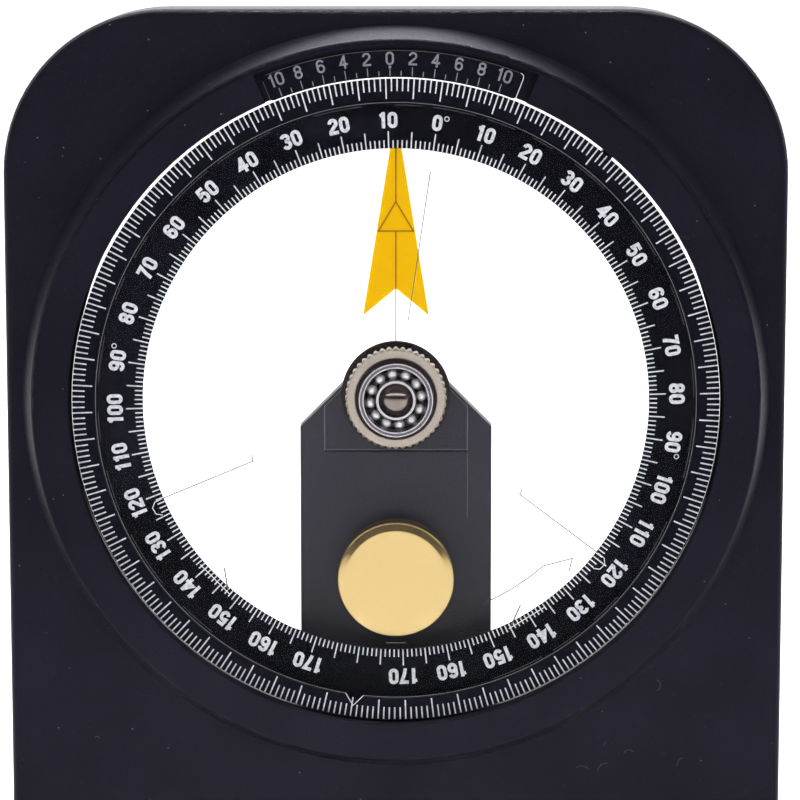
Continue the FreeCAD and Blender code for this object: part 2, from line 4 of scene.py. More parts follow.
import bmesh
import bpy
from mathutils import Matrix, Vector

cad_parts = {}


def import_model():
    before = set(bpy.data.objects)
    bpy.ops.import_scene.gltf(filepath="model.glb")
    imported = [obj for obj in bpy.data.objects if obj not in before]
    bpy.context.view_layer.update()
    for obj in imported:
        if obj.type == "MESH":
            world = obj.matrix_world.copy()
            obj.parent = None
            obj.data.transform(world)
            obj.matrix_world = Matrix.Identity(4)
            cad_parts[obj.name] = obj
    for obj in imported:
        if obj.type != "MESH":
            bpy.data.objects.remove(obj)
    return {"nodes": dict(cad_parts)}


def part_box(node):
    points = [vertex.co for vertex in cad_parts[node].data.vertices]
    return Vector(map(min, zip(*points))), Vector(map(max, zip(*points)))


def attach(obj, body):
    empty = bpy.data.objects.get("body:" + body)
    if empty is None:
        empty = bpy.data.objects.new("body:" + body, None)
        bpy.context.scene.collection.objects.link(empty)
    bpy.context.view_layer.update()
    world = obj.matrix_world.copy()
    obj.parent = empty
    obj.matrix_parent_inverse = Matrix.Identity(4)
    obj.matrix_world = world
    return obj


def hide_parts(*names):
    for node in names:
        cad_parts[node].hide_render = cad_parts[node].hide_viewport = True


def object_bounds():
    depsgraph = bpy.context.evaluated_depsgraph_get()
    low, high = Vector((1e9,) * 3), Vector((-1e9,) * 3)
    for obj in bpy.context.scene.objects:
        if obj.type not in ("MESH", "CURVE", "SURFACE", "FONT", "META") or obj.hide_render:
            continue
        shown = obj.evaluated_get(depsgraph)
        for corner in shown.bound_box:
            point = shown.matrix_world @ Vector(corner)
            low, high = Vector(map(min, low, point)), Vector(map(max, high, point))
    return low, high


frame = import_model()
CAD_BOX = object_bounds()
MM = 0.001

# --- places read from the frame -------------------------------------------------------------------
dial_low, dial_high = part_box("dial_disc")
AXIS_Z = (dial_low.z + dial_high.z) / 2
DIAL_FRONT_Y = dial_low.y
INNER_PRINT_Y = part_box("inner_scale_ring")[0].y
OUTER_PRINT_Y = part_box("outer_scale_ring")[0].y
VERNIER_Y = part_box("vernier_plate")[0].y
PENDULUM_FRONT_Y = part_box("pendulum_disc")[0].y
ARROW_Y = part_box("arrow_pointer")[0].y
weight_low, weight_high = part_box("pendulum_weight")
WEIGHT_Z = (weight_low.z + weight_high.z) / 2
bearing_low, bearing_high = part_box("bearing_inner_ring")
BEARING_Y = bearing_low.y

# --- sizes in millimetres and degrees ---------------------------------------------------------------
DIAL_TURN = 8.5  # clockwise turn of the dial at rest
INNER_PRINT_TURN = DIAL_TURN - 0.1
OUTER_PRINT_TURN = DIAL_TURN - 0.28
VERNIER_TURN = -1.0  # the plate is stuck on a little to the left
VERNIER_STEP = 1.913  # between two marks of the vernier
INK = 0.02  # thickness of printed marks
LAYER = 0.006  # a stroke that crosses another one lies this much in front of it
GROOVE = 0.19  # width of a groove moulded in the clear dial
BOLD = 0.215  # stroke of the dial's numerals, as a share of their height
LATHE_SIDES = 160  # sides of a turned piece's circle
EDGE_ROUND = 0.08  # radius of the small rounds on turned steel
CASE_FACE_Y = -5.3  # the flat face round the boss
CASE_CORNER_R = 26.6  # the case's two upper corners
BOSS_FACE_Y = CAD_BOX[0].y / MM
BOSS_TOP_R, BOSS_BASE_R = 58.85, 60.9  # the upper and lower edge of the slope round the boss
OPENING_R, RECESS_R = 53.0, 57.9  # the opening and the vernier's recess outside it


def on_circle(r, degrees):
    """(x, z) of a point at radius r from the dial axis, clockwise from the top."""
    a = math.radians(degrees)
    return r * math.sin(a), r * math.cos(a)


# --- node helpers -----------------------------------------------------------------------------------
def new_material(name):
    """A material with its node tree and its Principled shader."""
    mat = bpy.data.materials.new(name)
    mat.use_nodes = True
    nt = mat.node_tree
    return mat, nt, nt.nodes["Principled BSDF"]


def coordinates(nt):
    """Places on the object itself, in metres."""
    return nt.nodes.new("ShaderNodeTexCoord").outputs["Object"]


def noise(nt, where, scale, detail=4.0, rough=0.55):
    """Soft noise from 0 to 1."""
    n = nt.nodes.new("ShaderNodeTexNoise")
    n.inputs["Scale"].default_value = scale
    n.inputs["Detail"].default_value = detail
    n.inputs["Roughness"].default_value = rough
    nt.links.new(where, n.inputs["Vector"])
    return n.outputs["Fac"]


def remap(nt, value, from_low, from_high, to_low, to_high):
    """A value moved from one range to another, and kept inside it."""
    n = nt.nodes.new("ShaderNodeMapRange")
    limits = {"From Min": from_low, "From Max": from_high, "To Min": to_low, "To Max": to_high}
    for key, x in limits.items():
        n.inputs[key].default_value = x
    nt.links.new(value, n.inputs["Value"])
    return n.outputs["Result"]


def ramp(nt, value, stops):
    """Colour by value, between (value, colour) stops."""
    n = nt.nodes.new("ShaderNodeValToRGB")
    elements = n.color_ramp.elements
    while len(elements) < len(stops):
        elements.new(0.5)
    for element, (at, colour) in zip(elements, stops):
        element.position = at
        element.color = (*colour, 1.0)
    nt.links.new(value, n.inputs["Fac"])
    return n.outputs["Color"]


def math_node(nt, operation, a, b):
    """One operation on two values, each a socket or a number."""
    n = nt.nodes.new("ShaderNodeMath")
    n.operation = operation
    for socket, value in zip(n.inputs, (a, b)):
        if isinstance(value, (int, float)):
            socket.default_value = value
        else:
            nt.links.new(value, socket)
    return n.outputs["Value"]


def blend_colour(nt, share, a, b):
    """The colour of socket a where share is 0, and the plain colour b where it is 1."""
    n = nt.nodes.new("ShaderNodeMix")
    n.data_type = "RGBA"
    nt.links.new(share, n.inputs["Factor"])
    nt.links.new(a, n.inputs["A"])
    n.inputs["B"].default_value = (*b, 1.0)
    return n.outputs["Result"]


def bump(nt, height, strength, distance):
    """A normal that follows a height."""
    n = nt.nodes.new("ShaderNodeBump")
    n.inputs["Strength"].default_value = strength
    n.inputs["Distance"].default_value = distance
    nt.links.new(height, n.inputs["Height"])
    return n.outputs["Normal"]


def specks(nt, where, scale, radius, share):
    """1 on small round specks of dust, 0 elsewhere. share is how many cells hold one."""
    n = nt.nodes.new("ShaderNodeTexVoronoi")
    n.inputs["Scale"].default_value = scale
    nt.links.new(where, n.inputs["Vector"])
    split = nt.nodes.new("ShaderNodeSeparateColor")
    nt.links.new(n.outputs["Color"], split.inputs["Color"])
    near = math_node(nt, "LESS_THAN", n.outputs["Distance"], radius)
    chosen = math_node(nt, "LESS_THAN", split.outputs["Red"], share)
    return math_node(nt, "MULTIPLY", near, chosen)


# --- materials --------------------------------------------------------------------------------------
# The scales of noise and specks are per metre, and the depths of bumps are in metres.
def black_plastic(name, low, high, specular=0.12, dust=0.25, relief=0.5):
    """Moulded plastic with a fine spark-eroded grain, faint cloudiness and specks of dust. dust is the
    share of cells that hold a light speck, and relief is the strength of the grain."""
    grain_scale, cloud_scale, grain_depth = 2400.0, 55.0, 0.00012
    dull_speck, light_speck = (0.02, 0.02, 0.025), (0.14, 0.14, 0.15)
    mat, nt, shader = new_material(name)
    where = coordinates(nt)
    grain = noise(nt, where, grain_scale, 3.0, 0.6)
    cloud = noise(nt, where, cloud_scale, 3.0, 0.5)
    body = ramp(nt, math_node(nt, "MULTIPLY", grain, cloud), [(0.17, low), (0.34, high)])
    faint = blend_colour(nt, specks(nt, where, 900.0, 0.10, 0.3), body, dull_speck)
    dusty = blend_colour(nt, specks(nt, where, 500.0, 0.06, dust), faint, light_speck)
    nt.links.new(dusty, shader.inputs["Base Color"])
    shader.inputs["Specular IOR Level"].default_value = specular
    shader.inputs["Specular Tint"].default_value = (0.82, 0.78, 1.0, 1.0)
    nt.links.new(remap(nt, grain, 0.3, 0.7, 0.36, 0.54), shader.inputs["Roughness"])
    nt.links.new(bump(nt, grain, relief, grain_depth), shader.inputs["Normal"])
    return mat


def print_black():
    """Silk-screened black with slight mottling and a little dust."""
    dark, light, speck = (0.002, 0.002, 0.005), (0.004, 0.004, 0.009), (0.12, 0.12, 0.13)
    mat, nt, shader = new_material("black_print")
    where = coordinates(nt)
    mottle = noise(nt, where, 900.0, 2.0)
    body = ramp(nt, mottle, [(0.35, dark), (0.65, light)])
    dusty = blend_colour(nt, specks(nt, where, 420.0, 0.03, 0.18), body, speck)
    nt.links.new(dusty, shader.inputs["Base Color"])
    shader.inputs["Specular IOR Level"].default_value = 0.04
    shader.inputs["Roughness"].default_value = 0.42
    return mat


def print_ink(name, colour, spread, painted_glow=0.0):
    """Screen-printed ink with slightly uneven cover. spread is how much darker the thin places are, and
    painted_glow is painted light: an emission standing in for the light that comes through a thin film
    from behind, as a multiple of the light that it scatters."""
    mat, nt, shader = new_material(name)
    where = coordinates(nt)
    cover = noise(nt, where, 2200.0, 2.0)
    low = tuple(c * (1 - spread) for c in colour)
    nt.links.new(ramp(nt, cover, [(0.35, low), (0.6, colour)]), shader.inputs["Base Color"])
    shader.inputs["Roughness"].default_value = 0.6
    shader.inputs["Specular IOR Level"].default_value = 0.0 if painted_glow else 0.15
    # The emission is painted light: it stands in for light shone through the thin film from behind.
    if painted_glow:
        shader.inputs["Emission Color"].default_value = (*colour, 1.0)
        shader.inputs["Emission Strength"].default_value = painted_glow
    return mat


def metal(name, colour, rough, scale, depth=0.0, metallic=1.0, spread=0.14):
    """Metal whose roughness and colour vary a little. depth is that of its surface's unevenness."""
    mat, nt, shader = new_material(name)
    where = coordinates(nt)
    grain = noise(nt, where, scale, 3.0)
    low = tuple(c * (1 - spread) for c in colour)
    nt.links.new(ramp(nt, grain, [(0.3, low), (0.7, colour)]), shader.inputs["Base Color"])
    nt.links.new(remap(nt, grain, 0.3, 0.7, rough * 0.8, rough * 1.25), shader.inputs["Roughness"])
    shader.inputs["Metallic"].default_value = metallic
    if depth:
        nt.links.new(bump(nt, grain, 0.4, depth), shader.inputs["Normal"])
    return mat


CLEAR_TINT = (0.99, 0.993, 0.993)
CLEAR_GLOSS_IOR = 1.10  # lower than acrylic's, for the faint gloss of a coated face


def clear_plastic():
    """Clear acrylic: see-through, with a Fresnel gloss."""
    mat = bpy.data.materials.new("clear_plastic")
    mat.use_nodes = True
    nt = mat.node_tree
    nt.nodes.clear()
    out = nt.nodes.new("ShaderNodeOutputMaterial")
    mix = nt.nodes.new("ShaderNodeMixShader")
    see = nt.nodes.new("ShaderNodeBsdfTransparent")
    see.inputs["Color"].default_value = (*CLEAR_TINT, 1.0)
    gloss = nt.nodes.new("ShaderNodeBsdfGlossy")
    gloss.inputs["Color"].default_value = (1, 1, 1, 1)
    haze = noise(nt, coordinates(nt), 260.0, 3.0)
    nt.links.new(remap(nt, haze, 0.35, 0.65, 0.02, 0.05), gloss.inputs["Roughness"])
    fresnel = nt.nodes.new("ShaderNodeFresnel")
    fresnel.inputs["IOR"].default_value = CLEAR_GLOSS_IOR
    nt.links.new(fresnel.outputs["Fac"], mix.inputs["Fac"])
    nt.links.new(see.outputs["BSDF"], mix.inputs[1])
    nt.links.new(gloss.outputs["BSDF"], mix.inputs[2])
    nt.links.new(mix.outputs["Shader"], out.inputs["Surface"])
    return mat


def felt():
    """Black felt with a fine fuzz."""
    mat, nt, shader = new_material("felt")
    where = coordinates(nt)
    fuzz = noise(nt, where, 1800.0, 5.0, 0.7)
    fibres = ramp(nt, fuzz, [(0.3, (0.008, 0.008, 0.008)), (0.7, (0.03, 0.03, 0.03))])
    nt.links.new(fibres, shader.inputs["Base Color"])
    shader.inputs["Roughness"].default_value = 0.95
    nt.links.new(bump(nt, fuzz, 0.8, 0.0002), shader.inputs["Normal"])
    return mat


BLACK = black_plastic("black_plastic", (0.0010, 0.0010, 0.0035), (0.004, 0.0035, 0.008), 0.11)
# The slope round the boss gets a lighter copy of the black, painted light, besides its stronger gloss.
SLOPE_BLACK_PAINTED_LIGHT = black_plastic("boss_slope_painted_light", (0.003, 0.003, 0.006), (0.008, 0.007, 0.011), 0.24, dust=0.1)
WALL_BLACK = black_plastic("opening_wall", (0.006, 0.006, 0.009), (0.011, 0.011, 0.015), 0.0, dust=0.0)
# The arm's black is many times lighter than the case's: painted light for the haze of the clear discs in
# front of it.
ARM_BLACK_PAINTED_LIGHT = black_plastic("arm_plastic_painted_light", (0.024, 0.022, 0.032), (0.030, 0.028, 0.039), dust=0.5,
                          relief=0.25)
FILM_BLACK = print_black()
WHITE_INK = print_ink("white_ink", (0.66, 0.66, 0.71), 0.30)
GREY_INK = print_ink("grey_ink", (0.20, 0.20, 0.22), 0.25)
# The arrow's yellow film gets painted light, an emission for the light shone through it from behind.
YELLOW_FILM_PAINTED_GLOW = print_ink("yellow_film_painted_glow", (0.27, 0.150, 0.0), 0.05, painted_glow=2.2)
BROWN_INK = print_ink("brown_line", (0.15, 0.012, 0.0), 0.1)
HAIR_INK = print_ink("hair_line", (0.02, 0.010, 0.008), 0.2)
# groove_shade is painted shade along the lines moulded in the clear dial. The three greys after it draw
# painted highlights on edges; the first of them also colours real fibres on the case, and the other two
# also draw the lines round the vernier plate.
GROOVE_SHADE = print_ink("groove_shade", (0.09, 0.07, 0.06), 0.3)
HIGHLIGHT_AND_FIBRE_GREY = print_ink("edge_highlight_and_fibre", (0.16, 0.16, 0.18), 0.3)
BRIGHT_EDGE = print_ink("bright_edge", (0.7, 0.7, 0.72), 0.1)
FAINT_EDGE = print_ink("faint_edge", (0.07, 0.07, 0.08), 0.3)
STEEL = metal("bearing_steel", (0.40, 0.37, 0.40), 0.20, 900.0, spread=0.06)
STEEL_BAND = metal("bearing_band", (0.13, 0.12, 0.145), 0.30, 1400.0, spread=0.15)
DARK_CHROME = metal("dark_chrome", (0.17, 0.14, 0.13), 0.15, 900.0, spread=0.06)
CHROME = metal("ball_steel", (0.66, 0.64, 0.65), 0.14, 2000.0, metallic=0.6, spread=0.12)
DARK_STEEL = metal("dark_steel", (0.035, 0.032, 0.032), 0.4, 2500.0)
ZINC = metal("zinc_screws", (0.48, 0.48, 0.49), 0.35, 1500.0)
NICKEL = metal("satin_nickel", (0.43, 0.37, 0.32), 0.42, 2600.0, depth=0.00004, metallic=0.8, spread=0.25)
BRASS = metal("turned_brass", (0.46, 0.335, 0.145), 0.13, 1200.0, metallic=0.85, spread=0.06)
HUB_METAL = metal("dark_anodised", (0.026, 0.019, 0.018), 0.35, 2000.0)
CLEAR = clear_plastic()
FELT = felt()

NODE_MATERIALS = {
    "front_shell": BLACK, "back_shell": BLACK, "pivot_arm": ARM_BLACK_PAINTED_LIGHT, "dial_retainer": BLACK,
    "back_window": CLEAR, "dial_disc": CLEAR, "pendulum_disc": CLEAR,
    "case_screws": ZINC, "retainer_screws": ZINC, "arm_screws": ZINC, "weight_screw": ZINC,
    "stud_washer": ZINC, "stud_nut": ZINC, "vernier_plate": FILM_BLACK,
    "inner_scale_ring": FILM_BLACK, "outer_scale_ring": FILM_BLACK, "felt_ring": FELT,
    "pivot_stud": STEEL, "stud_spacer": STEEL, "bearing_inner_ring": STEEL,
    "bearing_outer_ring": STEEL, "bearing_balls": CHROME, "bearing_cage": DARK_STEEL,
    "pendulum_hub": HUB_METAL, "knurled_nut": NICKEL, "arrow_pointer": YELLOW_FILM_PAINTED_GLOW,
    "pendulum_weight": BRASS,
}
for node, mat in NODE_MATERIALS.items():
    mesh = frame["nodes"][node].data
    mesh.materials.clear()
    mesh.materials.append(mat)


def shell_walls():
    """The wall of the opening has no gloss, and the slope round the boss has more, with a lighter colour
    that is painted light.
    """
    wall_index, slope_index, margin, steepest = 1, 2, 0.3, 0.5
    shell = frame["nodes"]["front_shell"]
    mesh = shell.data
    mesh.materials.append(WALL_BLACK)
    mesh.materials.append(SLOPE_BLACK_PAINTED_LIGHT)
    for face in mesh.polygons:
        if abs(face.normal.y) > steepest:
            continue
        centre = shell.matrix_world @ face.center
        r = math.hypot(centre.x, centre.z - AXIS_Z) / MM
        if OPENING_R - margin < r < RECESS_R + margin:
            face.material_index = wall_index
        elif BOSS_TOP_R < r < BOSS_BASE_R:
            face.material_index = slope_index


shell_walls()


# --- mesh helpers -----------------------------------------------------------------------------------
def finish_piece(bm, name, mat, body, smooth=False):
    """The mesh as a named piece that moves with a body and has a place in the material list."""
    bmesh.ops.recalc_face_normals(bm, faces=bm.faces)
    mesh = bpy.data.meshes.new(name)
    bm.to_mesh(mesh)
    bm.free()
    if smooth:
        mesh.shade_smooth()
    obj = bpy.data.objects.new(name, mesh)
    bpy.context.scene.collection.objects.link(obj)
    mesh.materials.append(mat)
    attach(obj, body)
    return obj


def ribbon(bm, points, width, y, closed=False):
    """A flat ribbon of even width along (x, z) points in millimetres from the dial axis."""
    sharpest = 0.5  # keeps a mitre no longer than twice the width
    flat = [Vector(p) for p in points]
    count = len(flat)
    sides = []
    for i, here in enumerate(flat):
        steps = []
        if i or closed:
            steps.append(here - flat[i - 1])
        if i + 1 < count or closed:
            steps.append(flat[(i + 1) % count] - here)
        ways = [step.normalized() for step in steps]
        normals = [Vector((w.y, -w.x)) for w in ways]
        mean = sum(normals, Vector((0, 0))).normalized()
        reach = 1 / max(sharpest, mean.dot(normals[0]))
        sides.append([here + mean * (reach * s * width / 2) for s in (-1, 1)])
    front = [[bm.verts.new(Vector((p.x * MM, y, AXIS_Z + p.y * MM))) for p in pair] for pair in sides]
    rear = [[bm.verts.new(v.co + Vector((0, INK * MM, 0))) for v in pair] for pair in front]
    for i in range(count if closed else count - 1):
        j = (i + 1) % count
        bm.faces.new((front[i][0], front[i][1], front[j][1], front[j][0]))
        bm.faces.new((rear[i][0], rear[j][0], rear[j][1], rear[i][1]))
        for s in (0, 1):
            bm.faces.new((front[i][s], front[j][s], rear[j][s], rear[i][s]))
    if not closed:
        for i in (0, count - 1):
            bm.faces.new((front[i][0], front[i][1], rear[i][1], rear[i][0]))


def bar(bm, r_in, r_out, width, degrees, y):
    """A flat radial bar."""
    ribbon(bm, [on_circle(r, degrees) for r in (r_in, r_out)], width, y)


def arc_points(r, start, end, step=1.0):
    """(x, z) points on a circle about the dial axis, clockwise from the top."""
    count = max(2, int(abs(end - start) / step) + 1)
    return [on_circle(r, start + (end - start) * i / (count - 1)) for i in range(count)]


def rounded(points, radius, closed=True):
    """The corners of an (r, y) profile, each turned into a small curve with a flat run-up on each side,
    so that smooth shading stays at the corner."""
    longest_share, run_up = 0.3, 1.4
    out = []
    count = len(points)
    for i, here in enumerate(points):
        p = Vector(here)
        if not closed and i in (0, count - 1):
            out.append(p)
            continue
        ways = [Vector(points[i - 1]) - p, Vector(points[(i + 1) % count]) - p]
        reach = min([radius] + [w.length * longest_share for w in ways])
        a, b = [p + w.normalized() * reach for w in ways]
        out.append(p + ways[0].normalized() * reach * run_up)
        out += [a * (1 - u) ** 2 + p * 2 * u * (1 - u) + b * u**2 for u in (0, 0.25, 0.5, 0.75, 1)]
        out.append(p + ways[1].normalized() * reach * run_up)
    return out


def lathe(name, profile, centre_z, body, mat, closed=True):
    """A turned piece about a line along Y. profile is (r, y) in millimetres, and a point on the axis
    becomes a single vertex."""
    bm = bmesh.new()
    rings = []
    for r, y in profile:
        if r < 1e-6:
            rings.append([bm.verts.new((0, y * MM, centre_z))])
            continue
        ring = []
        for i in range(LATHE_SIDES):
            a = 2 * math.pi * i / LATHE_SIDES
            x, z = r * MM * math.sin(a), r * MM * math.cos(a)
            ring.append(bm.verts.new((x, y * MM, centre_z + z)))
        rings.append(ring)
    pairs = list(zip(rings, rings[1:] + (rings[:1] if closed else [])))
    for a, b in pairs:
        if len(a) == 1 and len(b) == 1:
            continue
        for i in range(LATHE_SIDES):
            j = (i + 1) % LATHE_SIDES
            if len(a) == 1:
                bm.faces.new((a[0], b[i], b[j]))
            elif len(b) == 1:
                bm.faces.new((a[i], a[j], b[0]))
            else:
                bm.faces.new((a[i], a[j], b[j], b[i]))
    return finish_piece(bm, name, mat, body, smooth=True)


# --- numerals ---------------------------------------------------------------------------------------
def oval(cx, cz, rx, rz, start, end, count=13):
    """Points on an ellipse, anticlockwise from the right, in a digit's own cell."""
    angles = [math.radians(start + (end - start) * i / (count - 1)) for i in range(count)]
    return [(cx + rx * math.cos(a), cz + rz * math.sin(a)) for a in angles]


def digit_strokes(digit, stroke):
    """Centre lines of a condensed digit in a cell of height 1, as (points, closed). w and h are half the
    width and height that they fill, and bend is where a straight side meets its round end."""
    w = 0.31 - stroke / 2
    h = 0.5 - stroke / 2
    bend = h - w
    whole = oval(0, bend, w, w, 0, 180) + oval(0, -bend, w, w, 180, 360)
    low = 0.17
    small = oval(0, -low, w, h - low, 90, 450, 25)[:-1]
    hook = [(-w, -low), (-w, bend)] + oval(0, bend, w, w, 180, 15)[1:]
    return {
        "0": [(whole, True)],
        "1": [([(-0.16, 0.27), (-0.02, 0.30), (0.06, 0.40)], False),
              ([(0.06, -0.5), (0.06, 0.5)], False)],
        "2": [(oval(0, bend, w, w, 180, -25) + [(-w, -h + 0.10), (-w, -h), (w + 0.08, -h)], False)],
        "3": [(oval(0, 0.215, w, h - 0.215, 165, -80) + oval(0, -0.19, w, h - 0.19, 80, -165), False)],
        "4": [([(0.08, -0.5), (0.08, 0.5)], False), ([(0.06, h), (-0.25, -0.17), (0.31, -0.17)], False)],
        "5": [([(w, h), (-w + 0.03, h), (-w, 0.02)] + oval(0, -0.14, w, h - 0.14, 140, -160), False)],
        "6": [(small, True), (hook, False)],
        "7": [([(-w - 0.05, h), (w, h), (0.02, -0.1), (-0.06, -0.5)], False)],
        "8": [(oval(0, 0.21, w * 0.92, h - 0.21, 90, 450, 21)[:-1], True),
              (oval(0, -0.19, w, h - 0.19, 90, 450, 21)[:-1], True)],
        "9": [([(-x, -z) for x, z in small], True), ([(-x, -z) for x, z in hook], False)],
    }[digit]


def add_number(bm, text, height, r, degrees, y, stroke, gap=0.07):
    """A number whose middle is at radius r and whose top points outwards. stroke and gap are shares of
    its height. Returns its length."""
    narrow, wide = 0.50, 0.62
    widths = [narrow if c == "1" else wide for c in text]
    total = sum(widths) + gap * (len(text) - 1)
    a = math.radians(degrees)
    out, along = Vector((math.sin(a), math.cos(a))), Vector((math.cos(a), -math.sin(a)))
    at = -total / 2
    for c, width in zip(text, widths):
        middle = at + width / 2
        for layer, (points, closed) in enumerate(digit_strokes(c, stroke)):
            placed = [out * (r + z * height) + along * ((middle + x) * height) for x, z in points]
            ribbon(bm, placed, stroke * height, y - layer * LAYER * MM, closed)
        at += width + gap
    return total * height


def add_degree_sign(bm, r, degrees, shift, y, radius=0.36, line=0.15):
    """A small ring, shift clockwise of the middle of its number."""
    a = math.radians(degrees)
    out, along = Vector((math.sin(a), math.cos(a))), Vector((math.cos(a), -math.sin(a)))
    ring = [out * (r + z) + along * (shift + x) for x, z in oval(0, 0, radius, radius, 0, 360, 21)[:-1]]
    ribbon(bm, ring, line, y, closed=True)


# --- the dial's scales ------------------------------------------------------------------------------
def inner_scale():
    """Marks for each degree, and numerals each way from 0."""
    y = INNER_PRINT_Y - INK * MM
    foot_r, short_r, middle_r, long_r, width = 41.25, 42.5, 43.85, 43.95, 0.21
    height, numeral_r, sign_r, sign_gap = 2.6, 45.75, 46.6, 0.62
    bm = bmesh.new()
    for d in range(360):
        top_r = long_r if d % 10 == 0 else middle_r if d % 5 == 0 else short_r
        bar(bm, foot_r, top_r, width, INNER_PRINT_TURN + d, y)
    finish_piece(bm, "inner_scale_marks", WHITE_INK, "dial")
    bm = bmesh.new()
    for d in range(0, 180, 10):
        for side in ((1, -1) if d else (1,)):
            angle = INNER_PRINT_TURN + side * d
            length = add_number(bm, str(d), height, numeral_r, angle, y, BOLD)
            if d in (0, 90):
                add_degree_sign(bm, sign_r, angle, length / 2 + sign_gap, y)
    finish_piece(bm, "inner_scale_numerals", WHITE_INK, "dial")


def outer_scale():
    """Fine marks at the rim, which the vernier reads."""
    y = OUTER_PRINT_Y - INK * MM
    long_r, short_r, rim_r, width = 49.3, 50.5, 52.5, 0.22
    bm = bmesh.new()
    for d in range(360):
        bar(bm, long_r if d % 5 == 0 else short_r, rim_r, width, OUTER_PRINT_TURN + d, y)
    finish_piece(bm, "outer_scale_marks", WHITE_INK, "dial")


def vernier_scale():
    """Ten divisions each way, with every second one numbered and a dot above the 0 mark."""
    y = VERNIER_Y - INK * MM
    foot_r, short_r, long_r, width = 52.95, 53.75, 54.35, 0.15
    height, numeral_r, stroke, dot_r = 2.15, 55.75, 0.15, 0.24
    bm = bmesh.new()
    for i in range(-10, 11):
        angle = VERNIER_TURN + VERNIER_STEP * i
        bar(bm, foot_r, short_r if i % 2 else long_r, width, angle, y)
        if i % 2 == 0:
            add_number(bm, str(abs(i)), height, numeral_r, angle, y, stroke)
    dot = oval(*on_circle(long_r, VERNIER_TURN), dot_r / 2, dot_r / 2, 0, 360, 17)[:-1]
    ribbon(bm, dot, dot_r, y, closed=True)
    finish_piece(bm, "vernier_marks", GREY_INK, "case")


def vernier_plate_edges():
    """A faint line round the vernier plate and a bright one at its right end."""
    y = VERNIER_Y - INK * MM
    corner, outer, inner, half, turn = 0.75, 57.0, 52.9, 21.75, -0.5
    border_width, end_width = 0.11, 0.13
    bend = math.degrees(corner / outer)
    left, right = turn - half, turn + half
    bm = bmesh.new()
    ribbon(bm, arc_points(outer, left + bend, right - bend), border_width, y)
    ribbon(bm, [on_circle(outer - corner, left), on_circle(inner, left)], border_width, y)
    finish_piece(bm, "vernier_plate_border", FAINT_EDGE, "case")
    bm = bmesh.new()
    rounding = ((0, 1), (0.1, 0.5), (0.4, 0.12), (1, 0))  # shares of the corner's depth and its angle
    end = [on_circle(outer - down * corner, right - back * bend) for down, back in rounding]
    ribbon(bm, end + [on_circle(inner, right)], end_width, y)
    finish_piece(bm, "vernier_plate_end", BRIGHT_EDGE, "case")


inner_scale()
outer_scale()
vernier_scale()
vernier_plate_edges()


# --- painted highlights and shade on edges and moulded lines, and fibres -----------------------------
DIAL_LINES_Y = DIAL_FRONT_Y - INK * MM
DIAL_BOTTOM = DIAL_TURN + 180


def dial_step():
    """Painted highlights along the edge of the step round the dial and of its small pointed tab, and a
    faint broken one just inside the step.
    """
    step_r, tab_half, tab, tab_turn = 48.72, 1.5, 1.9, -0.5
    step_width, tab_width, inner_width, inset = 0.10, 0.11, 0.09, 0.42
    gap = math.degrees(tab_half / step_r)
    tab_at = DIAL_BOTTOM + tab_turn
    bm = bmesh.new()
    ribbon(bm, arc_points(step_r, tab_at + gap, tab_at + 360 - gap), step_width, DIAL_LINES_Y)
    finish_piece(bm, "dial_step_edge", HIGHLIGHT_AND_FIBRE_GREY, "dial")
    bm = bmesh.new()
    corners = [(step_r, tab_at + gap), (step_r + tab, tab_at), (step_r, tab_at - gap)]
    ribbon(bm, [on_circle(*corner) for corner in corners], tab_width, DIAL_LINES_Y)
    finish_piece(bm, "dial_tab_edge", BRIGHT_EDGE, "dial")
    rng = random.Random(11)
    bm = bmesh.new()
    angle = DIAL_BOTTOM + 30
    while angle < DIAL_BOTTOM + 330:
        length = rng.uniform(4, 12)
        ribbon(bm, arc_points(step_r - inset, angle, angle + length), inner_width, DIAL_LINES_Y)
        angle += length + rng.uniform(2, 9)
    finish_piece(bm, "dial_step_inner_edge", FAINT_EDGE, "dial")


def dial_grooves():
    """The hair line and the other lines moulded in the clear dial, drawn as dark lines of painted shade,
    with light lines of painted highlight beside some of them. Most of them are placed by radius and by
    degrees from a mirror line near the dial's foot."""
    mirror_line = DIAL_BOTTOM - 1.3
    hair_width, light_width = 0.15, 0.12

    def line(bm, spots, width):
        ribbon(bm, [on_circle(r, mirror_line + d) for r, d in spots], width, DIAL_LINES_Y)

    bm = bmesh.new()
    ribbon(bm, [on_circle(r, DIAL_TURN - 0.1) for r in (13.7, 38.0)], hair_width, DIAL_LINES_Y)
    for side in (-1, 1):
        line(bm, [(24.9, side * 63), (25.1, side * 60.6), (41.1, side * 60.4)], GROOVE)
        line(bm, [(39.0, side * 38.7), (41.3, side * 34.4)], GROOVE * 1.3)
    shaft = arc_points(36.0, mirror_line - 31, mirror_line - 48, 2.0)
    barb = [on_circle(r, mirror_line + d) for r, d in ((36.0, -49.0), (38.5, -55.6), (39.7, -52.5))]
    ribbon(bm, shaft + barb, GROOVE, DIAL_LINES_Y)
    finish_piece(bm, "dial_grooves", GROOVE_SHADE, "dial")
    bm = bmesh.new()
    for side in (-1, 1):
        line(bm, [(41.6, side * 33.6), (41.55, side * 43)], light_width)
        hook = ((41.2, 60.4), (42.5, 60.3), (43.2, 59.3), (43.1, 57.8), (42.2, 57.0))
        line(bm, [(r, side * d) for r, d in hook], light_width)
    finish_piece(bm, "dial_groove_lights", BRIGHT_EDGE, "dial")


